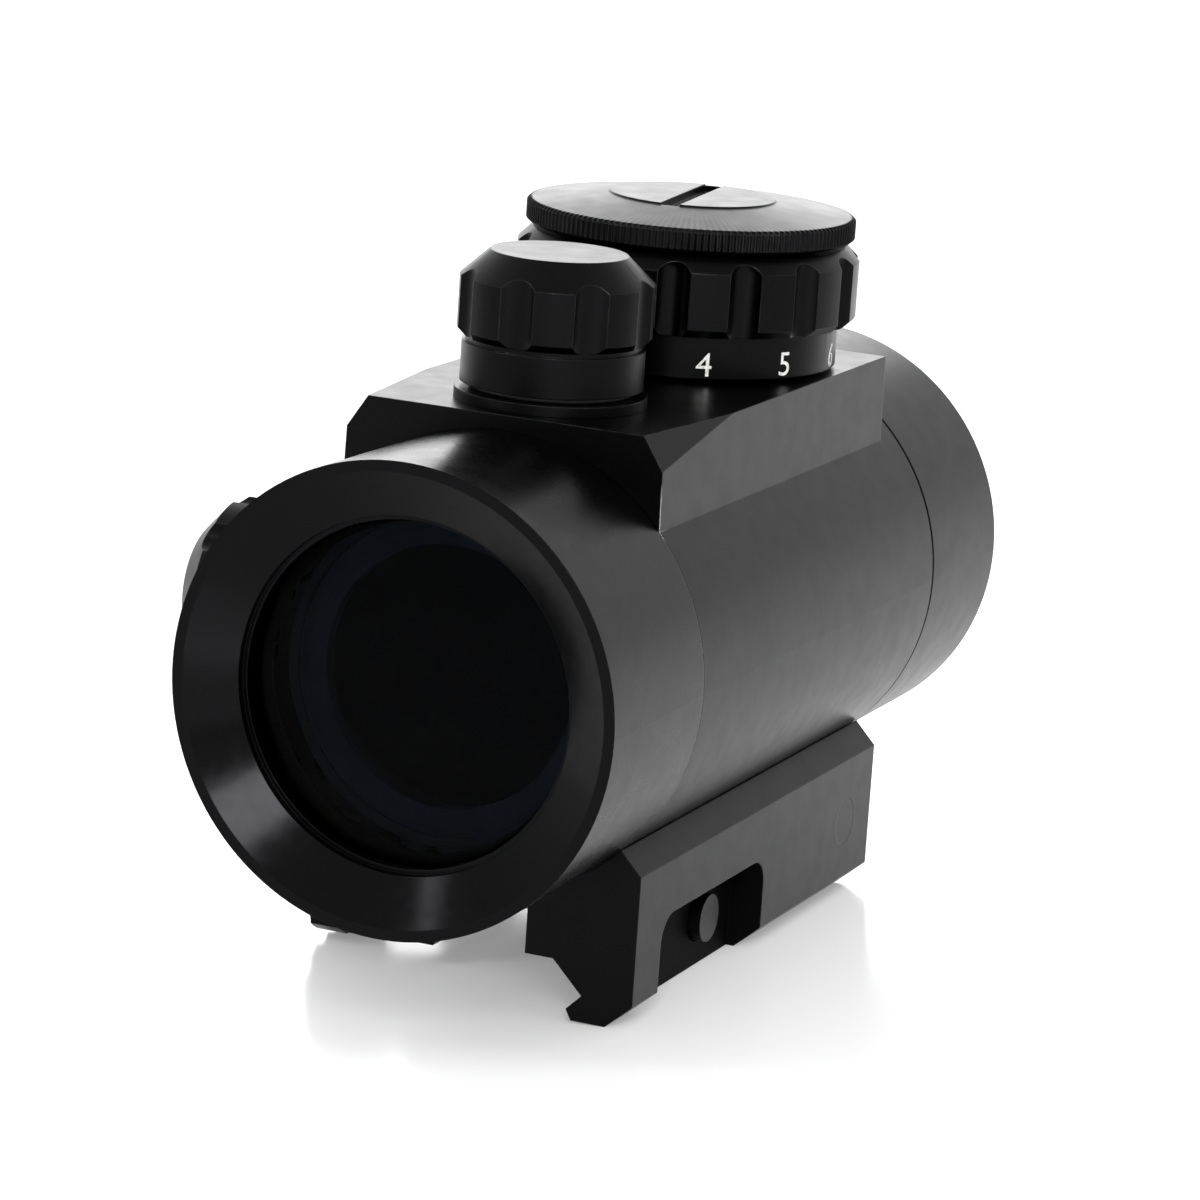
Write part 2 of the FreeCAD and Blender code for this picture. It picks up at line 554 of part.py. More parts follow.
def pivot():
    """The ring and the two pairs of pins that let the inner tube tilt both ways, and the return springs."""
    half = "pivot_width / 2"
    outer = cylinder("pivot_blank", "pivot_outer", "pivot_width", y=f"pivot_y - {half}", rotation=ALONG_Y)
    inner = cylinder("pivot_bore", "pivot_inner", "length", rotation=ALONG_Y)
    across = cylinder("pivot_side_holes", "pin_radius + pin_fit", "40", x="-20", y="pivot_y",
                      rotation=ALONG_X)
    upright = cylinder("pivot_upright_holes", "pin_radius", "40", y="pivot_y", z="-20")
    place(keep("pivot_ring", less("pivot_cut", outer, [inner, across, upright])), **TUBE_FRAME)
    length = "bore_radius + 1.25 - pivot_inner - 0.3"
    right = cylinder("pitch_pin_right", "pin_radius", length, x="pivot_inner + 0.3", y="pivot_y",
                     rotation=ALONG_X)
    left = cylinder("pitch_pin_left", "pin_radius", length, x=f"-(pivot_inner + 0.3) - ({length})",
                    y="pivot_y", rotation=ALONG_X)
    place(keep("pitch_pins", grouped("pitch_pin_pair", [right, left])), **TUBE_FRAME)
    length = "pivot_outer - inner_bore - 0.3"
    top = cylinder("yaw_pin_top", "pin_radius", length, y="pivot_y", z="inner_bore + 0.1")
    low = cylinder("yaw_pin_low", "pin_radius", length, y="pivot_y", z=f"-(inner_bore + 0.1) - ({length})")
    place(keep("yaw_pins", grouped("yaw_pin_pair", [top, low])), **TUBE_FRAME)
    foot = "inner_radius + 0.25"
    top = "bore_radius + spring_pocket - 0.05"
    here = {"y": "rim_y + turret_y", "z": "tube_axis_z"}
    for label, turn in (("elevation_spring", FreeCAD.Rotation(FreeCAD.Vector(1, 0, 0), 180)),
                        ("windage_spring", ALONG_X)):
        spring = keep(label, coil(label + "_coil", foot, top))
        spring.Placement = FreeCAD.Placement(FreeCAD.Vector(), turn)
        start = number(foot) + number("spring_wire")
        offset = turn.multVec(FreeCAD.Vector(0, 0, start))
        place(spring, x=f"{offset.x}", y=here["y"], z=f"{here['z']} + {offset.z}")


# ---------------------------------------------------------------- adjusters
def adjuster(side, rotation, drop):
    """One adjuster: base, dial, plunger, seal and cap, along local Z away from the tube axis.

    The cap's body and top are nearer the tube by the drop.
    """
    here = {"y": "rim_y + turret_y", "z": "tube_axis_z", "rotation": rotation}
    bore = "plunger_radius + pin_fit"
    stem = "dial_stem + thread_gap"
    base = turned(f"{side}_base_body", [
        (bore, "adjuster_foot"), ("adjuster_bore - thread_gap", "adjuster_foot"),
        ("adjuster_bore - thread_gap", "deck_height"), ("adjuster_flange", "deck_height"),
        ("adjuster_flange", "deck_height + flange_thick"), ("neck_radius", "deck_height + flange_thick"),
        ("neck_radius", "neck_top"), (stem, "neck_top"), (stem, "stem_foot - 0.2"),
        (bore, "stem_foot - 0.2")])
    place(keep(f"{side}_base", base), **here)
    dial = turned(f"{side}_dial_body", [
        (bore, "stem_foot"), ("dial_stem", "stem_foot"), ("dial_stem", "neck_top + 0.1"),
        ("dial_disc", "neck_top + 0.1"), ("dial_disc", "dial_top"), ("0", "dial_top"),
        ("0", "plunger_top + 1"), (bore, "plunger_top + 1")])
    slot = box(f"{side}_dial_slot", ("-dial_disc - 1", "-0.5", "dial_top - 0.8"),
               ("2 * dial_disc + 2", "1", "2"))
    place(keep(f"{side}_dial", less(f"{side}_dial_cut", dial, [slot])), **here)
    plunger = cylinder(f"{side}_plunger_body", "plunger_radius", "plunger_top - inner_radius - 0.05",
                       z="inner_radius + 0.05")
    shifted = keep(f"{side}_plunger", grouped(f"{side}_plunger_piece", [plunger]))
    place(shifted, **here)
    seal = torus(f"{side}_seal_body", "neck_radius + cap_seal_wire + 0.06", "cap_seal_wire",
                 "(deck_height + flange_thick + cap_bottom) / 2")
    ring = keep(f"{side}_cap_seal", grouped(f"{side}_seal_piece", [seal]))
    place(ring, **here)
    inside = "neck_radius + thread_gap"
    top, cone_foot, flute_foot = f"cap_top - {drop}", f"cap_cone_foot - {drop}", f"cap_flute_foot - {drop}"
    roof = f"{top} - cap_roof"
    blank = turned(f"{side}_cap_body", [
        (inside, "cap_bottom"), ("cap_skirt", "cap_bottom"), ("cap_skirt", f"{flute_foot} - 0.4"),
        ("cap_skirt - 0.3", f"{flute_foot} - 0.4"), ("cap_skirt - 0.3", flute_foot),
        ("cap_radius - cap_foot_bevel", flute_foot), ("cap_radius", f"{flute_foot} + cap_foot_bevel"),
        ("cap_radius", cone_foot), ("cap_top_radius", top), ("0", top), ("0", roof), (inside, roof)])
    reach = "cap_radius - cap_flute_depth + cap_flute_radius"
    flutes = ring_of_flutes(f"{side}_flute", "cap_flutes", "cap_flute_radius", reach, flute_foot, "20")
    place(keep(f"{side}_cap", less(f"{side}_cap_cut", blank, flutes)), **here)


# ---------------------------------------------------------------- brightness switch
def switch_core():
    """The fixed core, which is the battery cup, with the switch board, click spring and contact."""
    here = {"y": "rim_y + switch_y", "z": "tube_axis_z"}
    space = "battery_radius + battery_gap"
    core = turned("core_body", [
        ("core_wire_bore", "core_stem_foot"), ("core_stem", "core_stem_foot"), ("core_stem", "core_foot"),
        ("core_radius", "core_foot"), ("core_radius", "core_top"), (space, "core_top"),
        (space, "core_floor"), ("0", "core_floor"), ("0", "core_floor - 1.2"),
        ("core_wire_bore", "core_floor - 1.2")])
    place(keep("switch_core", core), **here)
    disc = cylinder("board_disc", "board_outer", "board_height", z="deck_height")
    hole = cylinder("board_hole", "board_inner", "board_height + 2", z="deck_height - 1")
    place(keep("switch_board", less("board_cut", disc, [hole])), **here)
    leaf = box("click_leaf", ("-4.5", "-click_radius - 1", "core_foot - 0.2"), ("9", "2", "0.2"))
    nose = doc.addObject("Part::Sphere", "click_nose")
    bind(nose, {"Radius": "click_nose"})
    place(nose, y="-click_radius", z="knob_foot + knob_web - click_drop + click_nose")
    place(keep("click_spring", joined("click_spring_body", [leaf, nose])), **here)
    contact = box("contact_leaf", ("-6", "-1.5", "core_floor"), ("12", "3", "contact_thick"))
    place(keep("battery_contact", grouped("contact_piece", [contact])), **here)
    cell = cylinder("cell_body", "battery_radius", "battery_thick", z="core_floor + contact_thick + 0.05")
    place(keep("battery", grouped("cell_piece", [cell])), **here)


def dial_knob():
    """The numbered knob round the core, with its dimples and its wiper."""
    here = {"y": "rim_y + switch_y", "z": "tube_axis_z"}
    web_top = "knob_foot + knob_web"
    blank = turned("knob_body", [
        ("knob_web_bore", "knob_foot"), ("skirt_bore", "knob_foot"), ("skirt_bore", "skirt_foot"),
        ("skirt_radius - 0.3", "skirt_foot"), ("skirt_radius", "skirt_foot + 0.3"),
        ("skirt_radius", "grip_foot"), ("grip_radius - grip_foot_bevel", "grip_foot"),
        ("grip_radius", "grip_foot + grip_foot_bevel"), ("grip_radius", "grip_top - grip_top_bevel"),
        ("grip_radius - grip_top_bevel", "grip_top"), ("knob_bore", "grip_top"), ("knob_bore", web_top),
        ("knob_web_bore", web_top)])
    reach = "grip_radius - grip_flute_depth + grip_flute_radius"
    cutters = ring_of_flutes("grip_flute", "grip_flutes", "grip_flute_radius", reach, "grip_foot - 1",
                             "grip_flute_top - grip_foot + 1")
    for i in range(round(number("grip_flutes"))):
        nose = doc.addObject("Part::Sphere", f"grip_nose_{i}")
        bind(nose, {"Radius": "grip_flute_radius"})
        angle = f"{i} * 360 / grip_flutes"
        place(nose, f"({reach}) * cos({angle})", f"({reach}) * sin({angle})", "grip_flute_top")
        cutters.append(nose)
    for i in range(round(number("click_count"))):
        dimple = doc.addObject("Part::Sphere", f"dimple_{i}")
        bind(dimple, {"Radius": "click_nose + 0.1"})
        angle = f"{i} * 360 / click_count - 90"
        place(dimple, f"click_radius * cos({angle})", f"click_radius * sin({angle})",
              f"{web_top} - click_drop + click_nose")
        cutters.append(dimple)
    place(keep("dial_knob", less("knob_cut", blank, cutters)), **here)
    wiper = box("wiper_block", ("-1", "8.4", "deck_height + board_height + 0.05"),
                ("2", "2", "knob_foot - deck_height - board_height - 0.05"))
    place(keep("dial_wiper", grouped("wiper_piece", [wiper])), **here)


def battery_cap():
    """The coin-slotted battery cap and its seal."""
    here = {"y": "rim_y + switch_y", "z": "tube_axis_z"}
    spigot = "battery_radius + battery_gap - thread_gap"
    blank = turned("lid_body", [
        ("0", "lid_spigot_foot"), (spigot, "lid_spigot_foot"), (spigot, "lid_foot"),
        ("lid_radius - 0.3", "lid_foot"), ("lid_radius", "lid_foot + 0.3"),
        ("lid_radius", "lid_foot + lid_edge - 0.3"), ("lid_radius - 0.3", "lid_foot + lid_edge"),
        ("lid_plateau + 0.15", "lid_top - 0.15"), ("lid_plateau", "lid_top"), ("0", "lid_top")])
    slot = box("lid_slot", ("-slot_width / 2", "-lid_plateau - 0.15", "-slot_depth"),
               ("slot_width", "2 * lid_plateau + 0.3", "slot_depth + 1"))
    turned_slot = grouped("lid_slot_turned", [slot])
    turned_slot.Placement = FreeCAD.Placement(
        FreeCAD.Vector(), FreeCAD.Rotation(FreeCAD.Vector(0, 0, 1), number("slot_turn")))
    place(turned_slot, z="lid_top")
    place(keep("battery_cap", less("lid_cut", blank, [turned_slot])), **here)
    seal = torus("lid_seal_body", "core_radius - 0.55", "lid_seal_wire", "core_top + lid_seal_wire + 0.01")
    place(keep("battery_cap_seal", grouped("lid_seal_piece", [seal])), **here)


# ---------------------------------------------------------------- rail base and clamp
def rounded_window():
    """The cutter for the recess in the outer face, with its two upper corners rounded."""
    deep = "base_outer + 2 - window_floor"
    low, centre = "base_foot - 2", "window_top - window_corner"
    parts = [
        box("window_low", ("window_floor", "window_front", low),
            (deep, "window_rear - window_front", f"{centre} - ({low})")),
        box("window_high", ("window_floor", "window_front + window_corner", low),
            (deep, "window_rear - window_front - 2 * window_corner", f"window_top - ({low})"))]
    for name, y in (("front", "window_front + window_corner"), ("rear", "window_rear - window_corner")):
        parts.append(cylinder(f"window_{name}_corner", "window_corner", deep, "window_floor", y, centre,
                              ALONG_X))
    return joined("base_window", parts)


def rear_corner():
    """The cutter that rounds the rear lower corner of the base."""
    size = "base_corner + 1"
    block = box("corner_block", ("0", "base_half_length - base_corner", "base_foot - 1"),
                ("base_outer + 2", size, size))
    round_part = cylinder("corner_round", "base_corner", "base_outer + 4", "-1",
                          "base_half_length - base_corner", "base_foot + base_corner", ALONG_X)
    return less("base_corner_cutter", block, [round_part])


def rail_base():
    """The base under the tube: fixed dovetail jaw on the right, web behind the clamp jaw."""
    apex = "seat_half_width + groove_depth"
    hook = [("seat_half_width", "0"), (apex, "-groove_depth"), ("tip_x", "tip_z"),
            ("foot_inner", "base_foot"), ("foot_outer", "base_foot"), ("base_outer", "base_side_foot"),
            ("base_outer", "base_side_top"), ("base_shoulder_x", "base_shoulder_z")]
    front = prism("base_front", "XZ_Plane",
                  hook + [("base_inner", "base_shoulder_z"), ("base_inner", "0")],
                  "web_start + base_half_length")
    place(front, y="-base_half_length")
    rear = prism("base_rear", "XZ_Plane",
                 hook + [("web_side", "base_shoulder_z"), ("web_side", "0")],
                 "base_half_length - web_start")
    place(rear, y="web_start")
    tube = cylinder("base_saddle", "tube_radius + saddle_gap", "length", y="rim_y", z="tube_axis_z",
                    rotation=ALONG_Y)
    tools = [tube, rounded_window(), rear_corner()]
    for name, head, gap in (("front", "window_floor + 1", "stud_gap"), ("rear", "base_outer + 1", "0")):
        tools.append(cylinder(f"base_{name}_stud_hole", f"stud_radius + {gap}", f"{head} - web_side + 1",
                              x="web_side - 1", y=f"{name}_stud_y", z=f"{name}_stud_z", rotation=ALONG_X))
    for side in ("+", "-"):
        y = f"screw_y {side} screw_spacing / 2"
        tools.append(cylinder(f"base_screw_hole_{side}", "screw_radius", "20", y=y, z="-1"))
        tools.append(cylinder(f"base_screw_seat_{side}", "screw_head + 0.2", "screw_head_height + 1.1",
                              y=y, z="-1"))
    keep("rail_base", less("base_cut", joined("base_whole", [front, rear]), tools))


def base_screws():
    """The two screws that hold the base to the tube from inside the rail channel."""
    screws = []
    for side in ("+", "-"):
        y = f"screw_y {side} screw_spacing / 2"
        shank = cylinder(f"screw_shank_{side}", "screw_radius", "screw_top - 0.1", y=y, z="0.1")
        head = cylinder(f"screw_head_{side}", "screw_head", "screw_head_height", y=y, z="0.1")
        socket = cylinder(f"screw_socket_{side}", "1.1", "1.2", y=y, z="0")
        screws.append(less(f"screw_{side}", joined(f"screw_blank_{side}", [shank, head]), [socket]))
    keep("base_screws", grouped("screw_pair", screws))


def clamp():
    """The sliding jaw, its two cross studs and their thumb nuts."""
    shift = "jaw_closed"
    inner = "web_side - jaw_gap"
    outer = f"{inner} - jaw_thick"
    upper = f"seat_half_width - ({shift} - ({inner}))"
    blank = prism("jaw_body", "XZ_Plane", [
        (inner, "jaw_top"), (outer, "jaw_top"), (outer, "base_foot + 0.5"), (f"{outer} + 0.5", "base_foot"),
        (f"{shift} - foot_inner", "base_foot"), (f"{shift} - tip_x", "tip_z"),
        (f"{shift} - seat_half_width - groove_depth - 0.05", "-groove_depth"), (inner, upper)],
        "base_half_length - web_start")
    place(blank, y="web_start")
    tools = [cylinder(f"jaw_{name}_hole", "stud_radius + pin_fit", "20", x="-20", y=f"{name}_stud_y",
                      z=f"{name}_stud_z", rotation=ALONG_X) for name in ("front", "rear")]
    keep("clamp_jaw", less("jaw_cut", blank, tools))
    for name, head in (("front", "front_stud_head"), ("rear", "base_outer")):
        here = {"y": f"{name}_stud_y", "z": f"{name}_stud_z"}
        stud = cylinder(f"{name}_stud_body", "stud_radius", f"{head} - stud_end", x="stud_end",
                        rotation=ALONG_X, **here)
        keep(f"{name}_stud", stud)
        hub = cylinder(f"{name}_nut_hub", "nut_hub", f"{outer} - 0.1 - nut_end", x="nut_end",
                       rotation=ALONG_X)
        disc = cylinder(f"{name}_nut_disc", "nut_radius", "nut_head_start - nut_end", x="nut_end",
                        rotation=ALONG_X)
        bore = cylinder(f"{name}_nut_bore", "stud_radius + pin_fit", "20", x="stud_end - 0.3",
                        rotation=ALONG_X)
        coin = box(f"{name}_nut_slot", ("nut_end - 1", "-0.7", "-nut_radius - 1"),
                   ("1.8", "1.4", "2 * nut_radius + 2"))
        reach = "nut_radius - nut_flute_depth + nut_flute_radius"
        flutes = []
        for i in range(round(number("nut_flutes"))):
            angle = f"({i} + 0.5) * 360 / nut_flutes"
            flutes.append(cylinder(f"{name}_nut_flute_{i}", "nut_flute_radius", "10", x="nut_end - 1",
                                   y=f"({reach}) * cos({angle})", z=f"({reach}) * sin({angle})",
                                   rotation=ALONG_X))
        nut = less(f"{name}_nut_cut", joined(f"{name}_nut_blank", [hub, disc]), [bore, coin] + flutes)
        place(keep(f"{name}_thumb_nut", nut), **here)


# ---------------------------------------------------------------- build
def faults():
    """Objects that failed to build, and pieces whose shape is not sound."""
    found = [thing.Name for thing in doc.Objects if {"Invalid", "Error"} & set(thing.State)]
    for label, thing in pieces.items():
        shape = thing.Shape
        if shape.isNull() or not shape.isValid() or not shape.Solids:
            found.append(label)
    return found


def build():
    """Build every piece, check it and write its STEP file."""
    fill_sheet()
    main_housing()
    objective_end()
    eyepiece_end()
    inner_assembly()
    pivot()
    adjuster("elevation", None, "0")
    adjuster("windage", TO_LEFT, "windage_drop")
    switch_core()
    dial_knob()
    battery_cap()
    rail_base()
    base_screws()
    clamp()
    doc.recompute()
    bad = faults()
    if bad:
        raise RuntimeError("not sound: " + ", ".join(bad))
    os.makedirs("parts", exist_ok=True)
    for label, thing in pieces.items():
        thing.Shape.exportStep(f"parts/{label}.step")
    print(len(pieces), "pieces,", sum(len(thing.Shape.Solids) for thing in pieces.values()), "solids")


build()
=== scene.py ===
"""Looks of the red dot finder: its finishes, its dial numbers, its knurled battery cap and a studio."""
import math

import bmesh
import bpy
from mathutils import Euler, Matrix, Vector


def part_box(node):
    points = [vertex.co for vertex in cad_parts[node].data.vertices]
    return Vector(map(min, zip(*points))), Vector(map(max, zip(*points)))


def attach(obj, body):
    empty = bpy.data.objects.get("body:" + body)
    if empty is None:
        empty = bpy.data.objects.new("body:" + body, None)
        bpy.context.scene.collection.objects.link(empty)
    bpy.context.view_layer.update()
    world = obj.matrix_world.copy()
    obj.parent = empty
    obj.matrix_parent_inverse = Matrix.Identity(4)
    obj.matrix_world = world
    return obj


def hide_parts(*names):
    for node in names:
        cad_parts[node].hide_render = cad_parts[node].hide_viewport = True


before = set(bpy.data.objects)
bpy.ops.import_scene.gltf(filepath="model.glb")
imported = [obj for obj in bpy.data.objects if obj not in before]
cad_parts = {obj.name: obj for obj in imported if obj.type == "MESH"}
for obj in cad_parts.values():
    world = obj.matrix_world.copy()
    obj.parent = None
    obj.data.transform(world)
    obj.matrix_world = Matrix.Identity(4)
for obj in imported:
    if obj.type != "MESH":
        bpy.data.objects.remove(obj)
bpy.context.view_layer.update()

bl_info = {
    "name": "Red dot finder looks",
    "version": (1, 0, 0),
    "blender": (4, 5, 0),
    "location": "3D View > Sidebar > Finder",
    "description": "Dresses the packed red dot finder with finishes, dial numbers, knurling and a studio",
    "category": "Object",
}

MM = 0.001
TUBE_AXIS_Z = (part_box("objective_lens")[0].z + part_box("objective_lens")[1].z) / 2
FRONT_RIM_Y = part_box("objective_bezel")[0].y
KNOB_LOW, KNOB_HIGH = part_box("dial_knob")
KNOB_AXIS = (KNOB_LOW + KNOB_HIGH) / 2
CAP_LOW, CAP_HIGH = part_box("battery_cap")
REAR_JOINT_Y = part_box("main_housing")[1].y
BASE_LOW, BASE_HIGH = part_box("rail_base")
BEZEL_LENGTH = 18.4 * MM
BLOCK_CORNER = Vector((13.9 * MM, FRONT_RIM_Y + BEZEL_LENGTH, TUBE_AXIS_Z + 14.0 * MM))
BEVEL_OUTER, BEVEL_DEPTH = 18.12 * MM, 2.4 * MM
RECESS_FRONT, RECESS_REAR, RECESS_TOP = -21.4 * MM, 1.2 * MM, 3.5 * MM
SEAM_HALF_WIDTH = 0.35 * MM
EDGE_ROUND, BASE_EDGE_ROUND = 0.14 * MM, 0.2 * MM
SKIRT_RADIUS = 13.25 * MM
GRIT_DEPTH_MM = 0.012


# ---------------------------------------------------------------- colours and nodes
def linear(colour):
    """The linear RGBA of an sRGB hex colour such as #1a2b3c."""
    parts = [int(colour[i:i + 2], 16) / 255 for i in (1, 3, 5)]
    return [c / 12.92 if c <= 0.04045 else ((c + 0.055) / 1.055) ** 2.4 for c in parts] + [1.0]


def add(tree, kind, values=None, links=None, **settings):
    """Add a node with its settings, the values of its inputs and what its inputs are linked to."""
    made = tree.nodes.new(kind)
    for name, value in settings.items():
        setattr(made, name, value)
    for name, value in (values or {}).items():
        made.inputs[name].default_value = value
    for name, source in (links or {}).items():
        tree.links.new(source, made.inputs[name])
    return made


def finish(name, values, links=None, build=None):
    """A material whose surface is one principled shader. build(tree) returns more of its links."""
    made = bpy.data.materials.get(name)
    if made is not None:
        return made
    made = bpy.data.materials.new(name)
    made.use_nodes = True
    tree = made.node_tree
    tree.nodes.clear()
    wanted = dict(links or {})
    if build is not None:
        wanted.update(build(tree))
    shader = add(tree, "ShaderNodeBsdfPrincipled", values, wanted)
    add(tree, "ShaderNodeOutputMaterial", links={"Surface": shader.outputs["BSDF"]})
    return made


def noise_of(tree, size_mm, detail=2.0, stretch=(1, 1, 1)):
    """Noise whose features are about size_mm across, in the part's own frame."""
    place = add(tree, "ShaderNodeTexCoord").outputs["Object"]
    spread = add(tree, "ShaderNodeVectorMath", {1: stretch}, {0: place}, operation="MULTIPLY")
    return add(tree, "ShaderNodeTexNoise", {"Scale": 1 / (size_mm * MM), "Detail": detail},
               {"Vector": spread.outputs["Vector"]}).outputs["Fac"]


def ranged(tree, source, low, high, start=0.3, end=0.7):
    """A value carried from one range to another."""
    return add(tree, "ShaderNodeMapRange",
               {"From Min": start, "From Max": end, "To Min": low, "To Max": high},
               {"Value": source}).outputs["Result"]


def blended(tree, factor, first, second):
    """A mix of two colours."""
    return add(tree, "ShaderNodeMix", {6: linear(first), 7: linear(second)}, {0: factor},
               data_type="RGBA").outputs[2]


def raised(tree, height, depth_mm, strength=1.0, normal=None):
    """A bump of a given depth."""
    links = {"Height": height}
    if normal is not None:
        links["Normal"] = normal
    return add(tree, "ShaderNodeBump", {"Strength": strength, "Distance": depth_mm * MM},
               links).outputs["Normal"]


# ---------------------------------------------------------------- finishes
def bead_blasted_black_anodised():
    """Aluminium, bead blasted and dyed black: a dark satin that turns silver-grey only at grazing angles.

    Its edges are rubbed, a painted highlight lightens the top block's front corner as metal with its dye worn
    through, and a painted shade darkens the rear joint's seam.
    """
    sizes, colours = bpy.context.scene.finder_sizes, bpy.context.scene.finder_colours

    def build(tree):
        grit = noise_of(tree, sizes.grit, 3.0)
        cloud = noise_of(tree, 2.2, 4.0)
        edge = add(tree, "ShaderNodeBevel", {"Radius": EDGE_ROUND}, samples=4).outputs["Normal"]
        flat = add(tree, "ShaderNodeNewGeometry").outputs["Normal"]
        along = add(tree, "ShaderNodeVectorMath", links={0: edge, 1: flat},
                    operation="DOT_PRODUCT").outputs["Value"]
        worn = ranged(tree, along, 0.75, 0.0, 0.80, 0.995)
        rubbed = add(tree, "ShaderNodeMath", links={0: worn, 1: ranged(tree, noise_of(tree, 1.6), 0.1, 1.0)},
                     operation="MULTIPLY").outputs["Value"]
        place = add(tree, "ShaderNodeTexCoord").outputs["Object"]
        # painted highlight: a near-white patch on the edges by the top block's front corner, drawn as metal
        # with its dye worn through
        away = add(tree, "ShaderNodeVectorMath", {1: BLOCK_CORNER}, {0: place},
                   operation="DISTANCE").outputs["Value"]
        near = ranged(tree, away, 1.0, 0.0, 1.2 * MM, 2.4 * MM)
        bare_corner_highlight_mask = add(tree, "ShaderNodeMath", links={0: near, 1: worn}, operation="MULTIPLY").outputs["Value"]
        rubbed_colour = blended(tree, rubbed, colours.anodised, colours.worn_edge)
        colour = add(tree, "ShaderNodeMix", {7: linear(colours.bare)}, {0: bare_corner_highlight_mask, 6: rubbed_colour},
                     data_type="RGBA").outputs[2]
        # painted shade: a near-black, rough, non-metal band at the rear joint, standing in for the shadow in
        # the gap there
        along_tube = add(tree, "ShaderNodeSeparateXYZ", links={0: place}).outputs["Y"]
        seam_shade = add(tree, "ShaderNodeMath", {1: REAR_JOINT_Y, 2: SEAM_HALF_WIDTH}, {0: along_tube},
                   operation="COMPARE").outputs["Value"]
        seam_shaded_colour = add(tree, "ShaderNodeMix", {7: linear("#040404")}, {0: seam_shade, 6: colour},
                    data_type="RGBA").outputs[2]
        satin = ranged(tree, cloud, 0.31, 0.36)
        return {
            "Base Color": seam_shaded_colour,
            "Metallic": ranged(tree, seam_shade, 1.0, 0.0, 0.0, 1.0),
            "Roughness": add(tree, "ShaderNodeMix", {3: 0.8}, {0: seam_shade, 2: satin}).outputs["Result"],
            "Normal": raised(tree, grit, GRIT_DEPTH_MM, 0.6, edge),
        }

    # the low specular level is for the painted shade at the rear joint's seam, which is the only part that
    # isn't metal
    return finish("bead_blasted_black_anodised_aluminium", {"Specular IOR Level": 0.04}, build=build)


def milled_black_anodised():
    """The base's aluminium: blasted outside, and left rough from the cutter in its recess, whose dead black
    is a painted shade.
    """
    sizes, colours = bpy.context.scene.finder_sizes, bpy.context.scene.finder_colours

    def build(tree):
        place = add(tree, "ShaderNodeTexCoord").outputs["Object"]
        split = add(tree, "ShaderNodeSeparateXYZ", links={0: place})
        # painted shade: the recess in the base's side is painted near black and non-metal, for the shade that
        # falls in it
        recess_shade = None
        for axis, low, high in (("X", 11.5 * MM, BASE_HIGH.x - 0.12 * MM),
                                ("Y", RECESS_FRONT, RECESS_REAR), ("Z", BASE_LOW.z - MM, RECESS_TOP)):
            middle, half = (low + high) / 2, (high - low) / 2
            within = add(tree, "ShaderNodeMath", {1: middle, 2: half}, {0: split.outputs[axis]},
                         operation="COMPARE").outputs["Value"]
            recess_shade = within if recess_shade is None else add(tree, "ShaderNodeMath", links={0: recess_shade, 1: within},
                                                   operation="MULTIPLY").outputs["Value"]
        edge = add(tree, "ShaderNodeBevel", {"Radius": BASE_EDGE_ROUND}, samples=4).outputs["Normal"]
        grit = noise_of(tree, sizes.grit, 3.0)
        blasted = ranged(tree, noise_of(tree, 2.2, 4.0), 0.31, 0.36)
        rough = add(tree, "ShaderNodeMix", {3: 0.62}, {0: recess_shade, 2: blasted}).outputs["Result"]
        metal = ranged(tree, recess_shade, 1.0, 0.0, 0.0, 1.0)
        return {"Base Color": blended(tree, recess_shade, colours.anodised, "#050505"), "Roughness": rough,
                "Metallic": metal, "Normal": raised(tree, grit, GRIT_DEPTH_MM, 0.6, edge)}

    # the low specular level is for the painted shade in the recess, which keeps it from reflecting the room
    return finish("milled_black_anodised_aluminium", {"Specular IOR Level": 0.04}, build=build)


def turned_black_anodised():
    """The same dye over bright turning: the front ring's bevel is smooth enough to mirror the lamps."""
    colours = bpy.context.scene.finder_colours

    def build(tree):
        place = add(tree, "ShaderNodeTexCoord").outputs["Object"]
        split = add(tree, "ShaderNodeSeparateXYZ", links={0: place})
        high = add(tree, "ShaderNodeMath", {1: TUBE_AXIS_Z}, {0: split.outputs["Z"]},
                   operation="SUBTRACT").outputs["Value"]
        across = add(tree, "ShaderNodeCombineXYZ", links={"X": split.outputs["X"], "Y": high})
        radius = add(tree, "ShaderNodeVectorMath", links={0: across.outputs["Vector"]},
                     operation="LENGTH").outputs["Value"]
        inside = add(tree, "ShaderNodeMath", {1: BEVEL_OUTER}, {0: radius}, operation="LESS_THAN")
        front = add(tree, "ShaderNodeMath", {1: FRONT_RIM_Y + BEVEL_DEPTH}, {0: split.outputs["Y"]},
                    operation="LESS_THAN")
        bevel = add(tree, "ShaderNodeMath", links={0: inside.outputs["Value"], 1: front.outputs["Value"]},
                    operation="MULTIPLY").outputs["Value"]
        edge = add(tree, "ShaderNodeBevel", {"Radius": EDGE_ROUND}, samples=4).outputs["Normal"]
        satin = ranged(tree, noise_of(tree, 2.2, 4.0), 0.26, 0.31)
        bright = ranged(tree, noise_of(tree, 1.2), 0.12, 0.17)
        rough = add(tree, "ShaderNodeMix", links={0: bevel, 2: satin, 3: bright}).outputs["Result"]
        grit = noise_of(tree, bpy.context.scene.finder_sizes.grit, 3.0)
        calm = add(tree, "ShaderNodeMath", {0: 1.0}, {1: bevel}, operation="SUBTRACT").outputs["Value"]
        relief = add(tree, "ShaderNodeMath", links={0: grit, 1: calm}, operation="MULTIPLY").outputs["Value"]
        return {"Roughness": rough, "Normal": raised(tree, relief, GRIT_DEPTH_MM, 0.6, edge)}

    return finish("turned_black_anodised_aluminium",
                  {"Metallic": 1.0, "Base Color": linear(colours.anodised)}, build=build)


